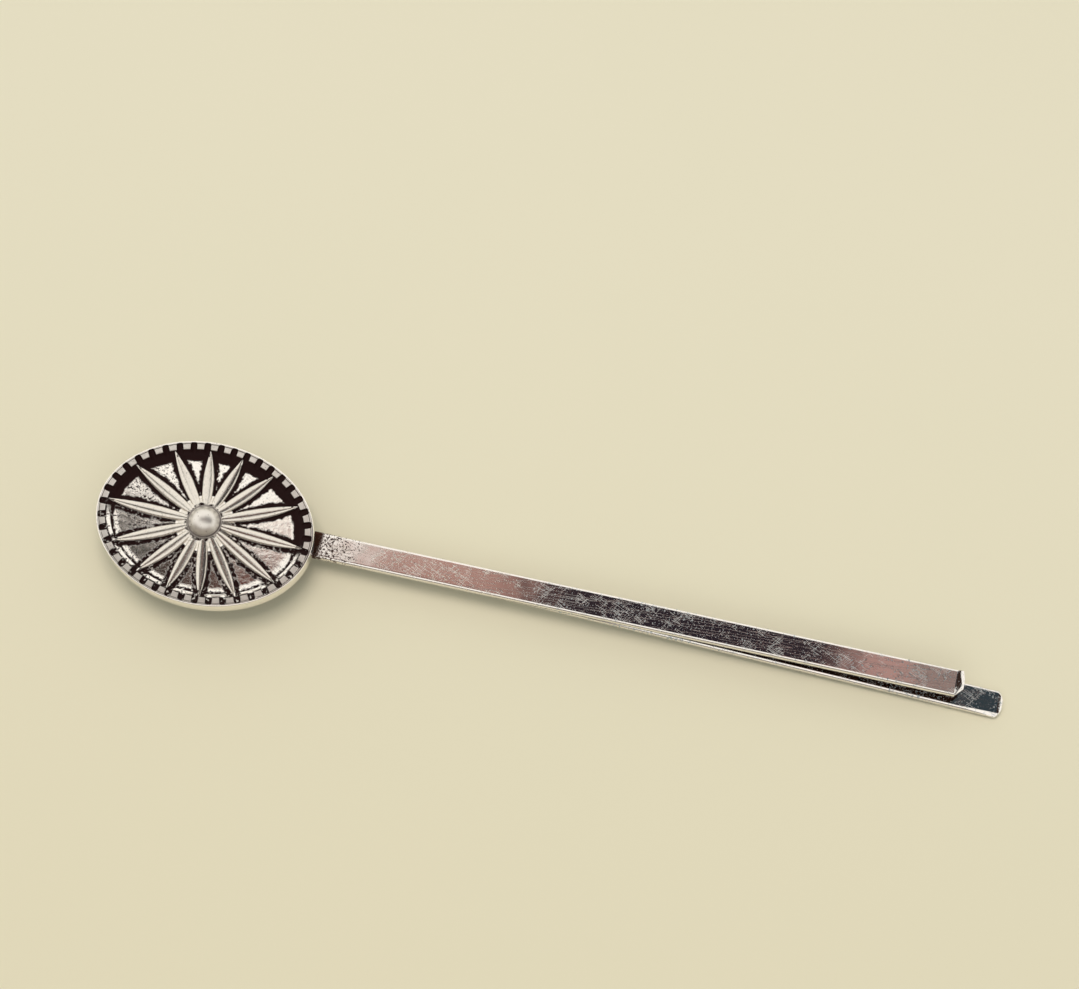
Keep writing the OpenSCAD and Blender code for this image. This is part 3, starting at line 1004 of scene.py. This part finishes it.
@dataclass
class Medallion:
    """The cast oval medallion."""

    form: MedallionForm
    finish: bpy.types.Material
    steps: int = 240
    notch_radius: float = 0.25
    notch_depth: float = 0.24
    notch_tilt: float = 9.0
    lip: float = 0.1
    petal_stations: int = 14
    petal_slope: float = 32.0

    def plate(self) -> Workpiece:
        """Makes the turned-looking plate: back, wall, lip, border, bevel and domed floor.

        Returns:
            The plate, in the medallion's frame.
        """
        form = self.form
        a, b, w = form.half_long, form.half_short, form.border
        piece = Workpiece.disc("medallion_casting_body", 1.0, 0.0, 0.14, self.steps, Vector())
        top = form.height
        loops = [
            (0.0, 0.14),
            (0.0, 0.5),
            (0.0, top - 0.1),
            (0.02, top - 0.045),
            (0.06, top - 0.01),
            (0.11, top),
            (0.17, top),
            (0.22, top - 0.05),
            (0.27, top),
            (w - 0.03, top),
            (w, top - 0.03),
            (w + 0.03, top - 0.06),
            (form.bevel - 0.05, form.floor_edge + 0.02),
            (form.bevel + 0.03, form.floor_edge + 0.004),
        ]
        floor_a, floor_b = a - form.bevel, b - form.bevel
        with piece.editing():
            piece.pick(Part.POINTS, lambda centre, normal: True)
            piece.resize((a, b, 1.0), (0.0, 0.0, 0.0))
            piece.pick(Part.POINTS, lambda centre, normal: centre.z < 0.05)
            piece.resize(((a - 0.12) / a, (b - 0.12) / b, 1.0), (0.0, 0.0, 0.0))
            piece.pick(Part.FACES, lambda centre, normal: normal.z > 0.9)
            last_a, last_b, last_z = a, b, 0.14
            rings = [(a - inset, b - inset, z) for inset, z in loops[1:]]
            for k in (0.9, 0.8, 0.7, 0.6, 0.5, 0.4, 0.3, 0.2):
                rings.append((floor_a * k, floor_b * k, form.floor_edge + form.floor_rise * (1 - k * k)))
            for ring_a, ring_b, z in rings:
                piece.extrude((0.0, 0.0, z - last_z))
                piece.resize((ring_a / last_a, ring_b / last_b, 1.0), (0.0, 0.0, 0.0))
                last_a, last_b, last_z = ring_a, ring_b, z
            piece.heal_normals()
        return piece

    def petal(self) -> Workpiece:
        """Makes one petal along +X, as long as the long axis allows.

        Returns:
            The petal.
        """
        form = self.form
        reach = form.reach(0.0)
        inner = form.petal_inner
        half = (reach - inner) / 2
        depth = 2.6
        stations = [inner + half * (1 - math.cos(math.pi * (i + 0.7) / (self.petal_stations + 0.7))) for i in range(self.petal_stations + 1)]
        widths = [max(1 - ((s - inner - half) / half) ** 2, 0.02) for s in stations]
        piece = Workpiece.block(
            "petal",
            Vector((stations[0] - 0.05, -form.petal_half_width * widths[0], form.ridge_inner - depth * widths[0])),
            Vector((stations[0], form.petal_half_width * widths[0], form.ridge_inner)),
        )
        fall = (form.ridge_inner - form.ridge_outer) / (reach - form.ridge_start)
        drop = form.petal_half_width * widths[0] * math.tan(math.radians(self.petal_slope))
        with piece.editing():
            bpy.ops.mesh.select_all(action="SELECT")
            bpy.ops.mesh.bisect(plane_co=(0.0, 0.0, 0.0), plane_no=(0.0, 1.0, 0.0))
            piece.pick(Part.POINTS, lambda centre, normal: abs(centre.y) > 0.001 and centre.z > form.ridge_inner - 0.01)
            piece.shift((0.0, 0.0, -drop))
            edges_z = form.ridge_inner - drop / 2
            piece.pick(Part.EDGES, lambda centre, along: abs(along.x) > 0.9 and form.ridge_inner - drop - 0.01 < centre.z < edges_z)
            piece.bevel(0.22 * form.petal_half_width * widths[0], 2)
            piece.pick(Part.EDGES, lambda centre, along: abs(along.x) > 0.9 and centre.z > form.ridge_inner - 0.001)
            piece.bevel(0.8 * form.petal_half_width * widths[0], 6)
            piece.pick(Part.FACES, lambda centre, normal: normal.x > 0.9)
            ridge = form.ridge_inner
            for before, after, wide, narrow in zip(stations, stations[1:], widths, widths[1:]):
                piece.extrude((after - before, 0.0, -fall * (after - before)))
                ridge -= fall * (after - before)
                piece.resize((1.0, narrow / wide, narrow / wide), (after, 0.0, ridge))
            piece.cut(Vector((0.0, 0.0, 0.45)), Vector((0.0, 0.0, -1.0)))
            piece.heal_normals()
        return piece

    def rosette(self) -> Workpiece:
        """Makes all the petals as one piece of loose shells, each a copy of one, drawn out to its own length.

        Returns:
            The petals.
        """
        form = self.form
        first = self.petal()
        full = form.reach(0.0) - form.petal_inner
        copies = []
        for i in range(form.petals):
            angle = math.tau * i / form.petals
            twin = first.copy(f"petal_{i:02d}")
            length = (form.reach(angle) - form.petal_inner) / full
            slide = form.petal_inner * (1 - length)
            twin.obj.matrix_world = (
                Matrix.Rotation(angle, 4, "Z")
                @ Matrix.Translation((slide, 0.0, 0.0))
                @ Matrix.Diagonal((length, 1.0, 1.0, 1.0))
            )
            twin.apply_place()
            copies.append(twin)
        bpy.data.objects.remove(first.obj)
        copies[0].join(copies[1:])
        return copies[0]

    def notch_cutters(self) -> Workpiece:
        """Makes the round cutters of the border's notches, each a copy of one.

        Returns:
            The cutters as one piece of loose shells.
        """
        form = self.form
        tilt = math.radians(self.notch_tilt)
        length = 1.0
        first = Workpiece.disc("notch_cutter", self.notch_radius, 0.0, length, 28, Vector())
        with first.editing():
            first.pick(Part.EDGES, lambda centre, along: centre.z > length - 0.01)
            first.bevel(0.12, 3)
        a, b = form.half_long - form.border, form.half_short - form.border
        copies = []
        for i in range(form.notches):
            plain = math.radians(form.notch_start + 360 * i / form.notches)
            t = plain + math.radians(form.notch_swing) * math.sin(2 * plain)
            heading = math.atan2(a * math.sin(t), b * math.cos(t))
            twin = first.copy(f"notch_{i:02d}")
            twin.obj.matrix_world = (
                Matrix.Translation((a * math.cos(t), b * math.sin(t), form.height - self.notch_depth))
                @ Matrix.Rotation(heading, 4, "Z")
                @ Matrix.Rotation(math.pi / 2 - tilt, 4, "Y")
                @ Matrix.Translation((-self.notch_radius, 0.0, form.border - self.lip - length))
            )
            twin.apply_place()
            copies.append(twin)
        bpy.data.objects.remove(first.obj)
        copies[0].join(copies[1:])
        return copies[0]

    def boss(self) -> Workpiece:
        """Makes the low boss that the petals spring from."""
        form = self.form
        piece = Workpiece.disc("boss", form.boss_foot, 1.05, form.boss_top, 72, Vector())
        with piece.editing():
            piece.pick(Part.FACES, lambda centre, normal: normal.z > 0.9)
            share = form.boss_radius / form.boss_foot
            piece.resize((share, share, 1.0), (0.0, 0.0, 0.0))
            piece.pick(Part.EDGES, lambda centre, along: centre.z > form.boss_top - 0.01)
            piece.bevel(0.05, 3)
        return piece

    def seat_cutter(self) -> Workpiece:
        """Makes the cutter that levels the petals where the bead sits."""
        form = self.form
        radius = form.bead_radius + form.collar_width + 0.03
        piece = Workpiece.disc("seat", radius, form.boss_top, 3.0, 72, Vector())
        return piece

    def build(self) -> bpy.types.Object:
        """Makes and dresses the casting.

        Returns:
            The piece.
        """
        plate = self.plate()
        plate.combine(self.boss(), "UNION")
        plate.combine(self.rosette(), "UNION")
        plate.combine(self.notch_cutters(), "DIFFERENCE")
        plate.combine(self.seat_cutter(), "DIFFERENCE")
        piece = plate.to_frame(32.0, self.form.turn, self.form.centre)
        piece.data.materials.append(self.finish)
        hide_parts("medallion_casting")
        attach(piece, FIXED_BODY)
        return piece


@dataclass
class CentreBead:
    """The half-ball in the medallion's middle, with its collar."""

    form: MedallionForm
    finish: bpy.types.Material
    steps: int = 72

    def build(self) -> bpy.types.Object:
        """Makes and dresses the bead.

        Returns:
            The piece.
        """
        form = self.form
        base = form.boss_top + form.collar_height
        ball = (form.bead_radius**2 + form.bead_height**2) / (2 * form.bead_height)
        deselect_all()
        bpy.ops.mesh.primitive_uv_sphere_add(
            segments=self.steps, ring_count=48, radius=ball, location=(0.0, 0.0, base + form.bead_height - ball)
        )
        piece = Workpiece("centre_bead_dome")
        piece.apply_place()
        with piece.editing():
            piece.cut(Vector((0.0, 0.0, base - 0.03)), Vector((0.0, 0.0, -1.0)))
            piece.heal_normals()
        collar = Workpiece.disc(
            "collar", form.bead_radius + form.collar_width, form.boss_top, base, self.steps, Vector()
        )
        with collar.editing():
            collar.pick(Part.EDGES, lambda centre, along: abs(along.z) < 0.5 and centre.z > base - 0.01)
            collar.bevel(0.045, 3)
        piece.combine(collar, "UNION")
        obj = piece.to_frame(40.0, form.turn, form.centre)
        obj.data.materials.append(self.finish)
        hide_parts("centre_bead")
        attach(obj, FIXED_BODY)
        return obj


@dataclass(frozen=True)
class BeadSilver:
    """The bead's polished metal, pitted and darkened round its foot."""

    form: MedallionForm
    bright: Colour = (0.86, 0.83, 0.79)
    dark: Colour = (0.06, 0.035, 0.03)
    roughness: float = 0.4

    def build(self, marks: bpy.types.NodeTree) -> bpy.types.Material:
        """Makes the material.

        Args:
            marks: The handling marks group.

        Returns:
            The material.
        """
        form = self.form
        material = bpy.data.materials.new("Bead silver")
        material.use_nodes = True
        sheet = Sheet(material.node_tree)
        shader = material.node_tree.nodes["Principled BSDF"]
        shader.inputs["Metallic"].default_value = 1.0
        where = sheet.placed(form.centre, form.turn)
        axes = sheet.node("ShaderNodeSeparateXYZ", {0: where})
        group = sheet.node("ShaderNodeGroup", node_tree=marks)
        sheet.feed(group.inputs["Vector"], where)
        group.inputs["Cover"].default_value = 0.35
        base = form.boss_top + form.collar_height
        foot = sheet.step(axes.outputs[2], base + 0.09, base + 0.01)
        above_collar = sheet.step(axes.outputs[2], base - 0.02, base + 0.0)
        groove = sheet.math("MULTIPLY", foot, above_collar)
        dark = sheet.math("MAXIMUM", sheet.math("MULTIPLY", groove, 0.7), sheet.math("MULTIPLY", group.outputs["Flecks"], 0.6))
        sheet.feed(shader.inputs["Base Color"], sheet.mix(dark, self.bright, self.dark))
        rough = sheet.node("ShaderNodeMapRange", {"Value": dark, "To Min": self.roughness, "To Max": 0.4})
        sheet.feed(shader.inputs["Roughness"], rough.outputs["Result"])
        height = sheet.math("SUBTRACT", sheet.noise(where, 1.5, 2.0), sheet.math("MULTIPLY", group.outputs["Flecks"], 0.3))
        bump = sheet.node("ShaderNodeBump", {"Height": height, "Strength": 0.4, "Distance": 0.00002})
        sheet.feed(shader.inputs["Normal"], bump.outputs[0])
        return material


# ---------------------------------------------------------------- studio


@dataclass
class Studio:
    """Floor, soft light, reflection card and camera."""

    aim: Vector
    azimuth: float = 12.65
    elevation: float = 72.0
    distance: float = 180.0
    lens: float = 86.48
    card_bands: tuple[tuple[float, Colour, float], ...] = (
        (-72.0, (0.46, 0.265, 0.22), 8.0),
        (-28.0, (0.022, 0.016, 0.022), 7.0),
        (50.0, (0.50, 0.295, 0.26), 0.6),
        (64.0, (0.30, 0.22, 0.195), 4.0),
        (88.0, (0.025, 0.042, 0.052), 6.0),
        (200.0, (0.035, 0.02, 0.016), 40.0),
    )

    def camera(self) -> bpy.types.Object:
        """Places the camera, looking down over the near side of the pin.

        Returns:
            The camera.
        """
        a, e = math.radians(self.azimuth), math.radians(self.elevation)
        back = Vector((math.sin(a) * math.cos(e), -math.cos(a) * math.cos(e), math.sin(e)))
        data = bpy.data.cameras.new("Camera")
        data.lens = self.lens
        data.sensor_width = 36.0
        data.clip_start = 0.005
        data.clip_end = 20.0
        camera = bpy.data.objects.new("Camera", data)
        camera.location = (self.aim + back * self.distance) * MM
        camera.rotation_euler = (-back).to_track_quat("-Z", "Y").to_euler()
        bpy.context.collection.objects.link(camera)
        bpy.context.scene.camera = camera
        return camera

    def floor(self) -> bpy.types.Object:
        """Lays the pale floor, painted darker on its near side."""
        deselect_all()
        bpy.ops.mesh.primitive_plane_add(size=4.0)
        floor = bpy.context.active_object
        floor.name = "floor"
        material = bpy.data.materials.new("Pale card")
        material.use_nodes = True
        sheet = Sheet(material.node_tree)
        shader = material.node_tree.nodes["Principled BSDF"]
        shader.inputs["Roughness"].default_value = 0.75
        shader.inputs["Specular IOR Level"].default_value = 0.2
        where = sheet.placed(Vector(), 0.0)
        cloud = sheet.noise(where, 0.04, 3.0)
        # Painted shade: the near side's colours are darker, as if the light falls off towards the camera.
        back = sheet.step(sheet.node("ShaderNodeSeparateXYZ", {0: where}).outputs[1], -45.0, 45.0)
        far_side = sheet.mix(cloud, (0.845, 0.805, 0.645), (0.825, 0.795, 0.63))
        near_side = sheet.mix(cloud, (0.80, 0.745, 0.565), (0.785, 0.745, 0.565))
        sheet.feed(shader.inputs["Base Color"], sheet.mix(back, near_side, far_side))
        floor.data.materials.append(material)
        return floor

    def card(self) -> bpy.types.Object:
        """Hangs the card that the polished metal mirrors, out of the camera's sight."""
        deselect_all()
        bpy.ops.mesh.primitive_plane_add(size=1.0, location=(0.2, 0.05, 0.4))
        card = bpy.context.active_object
        card.name = "reflection_card"
        card.scale = (0.9, 0.5, 1.0)
        bpy.ops.object.transform_apply(location=True, rotation=True, scale=True)
        material = bpy.data.materials.new("Reflection card")
        material.use_nodes = True
        tree = material.node_tree
        tree.nodes.clear()
        sheet = Sheet(tree)
        where = sheet.placed(Vector(), 0.0)
        axes = sheet.node("ShaderNodeSeparateXYZ", {0: where})
        x, y = axes.outputs[0], axes.outputs[1]
        colour: object = self.card_bands[0][1]
        for edge, band, width in self.card_bands[1:]:
            colour = sheet.mix(sheet.step(x, edge - width, edge + width), colour, band)
        left_end = sheet.math("MULTIPLY", sheet.step(x, -118.0, -128.0), sheet.step(y, 122.0, 110.0))
        before = sheet.math("MAXIMUM", sheet.step(y, 100.0, 92.0), left_end)
        colour = sheet.mix(sheet.math("MULTIPLY", before, sheet.step(x, -32.0, -42.0)), colour, self.near_tint(sheet, x, y))
        emission = sheet.node("ShaderNodeEmission", {"Color": colour, "Strength": 1.0})
        clear = sheet.node("ShaderNodeBsdfTransparent")
        over = sheet.math("SUBTRACT", y, sheet.math("MULTIPLY", sheet.step(x, -58.0, -34.0), 50.0))
        strip = sheet.math("MULTIPLY", sheet.step(over, 130.0, 120.0), sheet.step(x, -72.0, -64.0))
        beyond = sheet.step(x, 80.0, 100.0)
        near = sheet.step(y, -80.0, -50.0)
        shown = sheet.math("MAXIMUM", sheet.math("MAXIMUM", strip, before), beyond)
        gone = sheet.math("SUBTRACT", 1.0, sheet.math("MULTIPLY", shown, near))
        shader = sheet.node("ShaderNodeMixShader", {0: gone, 1: emission.outputs[0], 2: clear.outputs[0]})
        out = sheet.node("ShaderNodeOutputMaterial")
        sheet.feed(out.inputs["Surface"], shader.outputs[0])
        card.data.materials.append(material)
        card.visible_camera = False
        card.visible_diffuse = False
        card.visible_shadow = False
        card.visible_transmission = False
        return card

    def near_tint(
        self, sheet: Sheet, x: bpy.types.NodeSocket, y: bpy.types.NodeSocket
    ) -> bpy.types.NodeSocket:
        """Gives the card's dark colours on its near side, from green-grey to maroon.

        Args:
            sheet: The node tree to draw in.
            x: Place across the card, in millimetres.
            y: Place up the card.

        Returns:
            The colour's socket.
        """
        far_left = sheet.mix(sheet.step(y, 92.0, 102.0), (0.05, 0.056, 0.046), (0.035, 0.014, 0.01))
        left = sheet.mix(sheet.step(x, -132.0, -112.0), far_left, (0.04, 0.016, 0.012))
        return sheet.mix(sheet.step(x, -94.0, -68.0), left, (0.17, 0.068, 0.056))

    def light(self, name: str, place: Sequence[float], size: float, power: float, colour: Colour) -> None:
        """Adds a soft square light aimed at the pin.

        Args:
            name: Its name.
            place: Where it stands, in metres.
            size: Its side, in metres.
            power: Its power in watts.
            colour: Its colour.
        """
        data = bpy.data.lights.new(name, "AREA")
        data.shape = "SQUARE"
        data.size = size
        data.energy = power
        data.color = colour
        light = bpy.data.objects.new(name, data)
        light.location = place
        light.rotation_euler = (-Vector(place)).to_track_quat("-Z", "Y").to_euler()
        light.visible_glossy = False
        bpy.context.collection.objects.link(light)

    def world(self) -> None:
        """Sets the pale surroundings: brighter behind the pin than before it, and fuller in the metal."""
        world = bpy.data.worlds.new("Surroundings")
        bpy.context.scene.world = world
        world.use_nodes = True
        sheet = Sheet(world.node_tree)
        background = world.node_tree.nodes["Background"]
        mirrored = sheet.node("ShaderNodeLightPath").outputs["Is Glossy Ray"]
        behind = sheet.mix(mirrored, (0.94, 0.975, 0.90), (1.0, 0.965, 0.90))
        toward = sheet.node("ShaderNodeTexCoord").outputs["Generated"]
        axes = sheet.node("ShaderNodeSeparateXYZ", {0: toward})
        y, z = axes.outputs[1], axes.outputs[2]
        before = sheet.math("MULTIPLY", sheet.step(y, -0.1, -0.7), sheet.step(z, 0.66, 0.42))
        colour = sheet.mix(before, behind, (0.22, 0.18, 0.155))
        strength = sheet.math("ADD", sheet.math("MULTIPLY", mirrored, 0.5), 0.58)
        sheet.feed(background.inputs["Color"], colour)
        sheet.feed(background.inputs["Strength"], strength)
        bpy.context.scene.view_settings.view_transform = "Standard"

    def build(self) -> None:
        """Sets the whole studio up."""
        self.camera()
        self.floor()
        self.card()
        self.world()
        self.light("Window", (-0.03, 0.05, 0.6), 0.24, 1.45, (1.0, 0.89, 0.83))
        self.light("Fill", (-0.03, -0.36, 0.17), 0.5, 0.3, (1.0, 0.97, 0.93))


def main() -> None:
    """Builds the pin and its studio."""
    logging.basicConfig(level=logging.INFO, format="%(name)s: %(message)s")
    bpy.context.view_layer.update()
    low, high = node_box("medallion_casting")
    middle = (low + high) / 2
    turn = math.radians(MedallionForm.turn)
    half_short = MedallionForm.half_short
    half_long = math.sqrt(((high.x - low.x) / 2) ** 2 - (half_short * math.sin(turn)) ** 2) / math.cos(turn)
    form = MedallionForm(centre=Vector((middle.x, middle.y, low.z)), half_long=half_long)

    marks = handling_marks()
    leg_low, _ = node_box("upper_leg")
    steel = PlatedSteel(root_x=high.x, crevice_z=leg_low.z + 0.3).build("Plated strip", marks)
    worn_steel = PlatedSteel(dirt_and_shade=0.04, cover=0.6).build("Plated strip, worn", marks)
    pad_steel = PlatedSteel(roughness=0.22, colour=(0.72, 0.70, 0.68)).build("Plated pad", marks)
    silver = AntiqueSilver(form).build("Antique silver", marks)
    bead_silver = BeadSilver(form).build(marks)
    adhesive = SetAdhesive().build()

    pieces = []
    pieces += SpringStrip(steel, worn_steel, middle.x).build()
    pieces += PadMount(pad_steel, adhesive).build()
    pieces.append(Medallion(form, silver).build())
    pieces.append(CentreBead(form, bead_silver).build())
    Studio(aim=Vector((-2.3, 7.4, 2.9))).build()
    for piece in pieces:
        LOG.info("%s: %d faces", piece.name, len(piece.data.polygons))


if __name__ == "__main__":
    main()
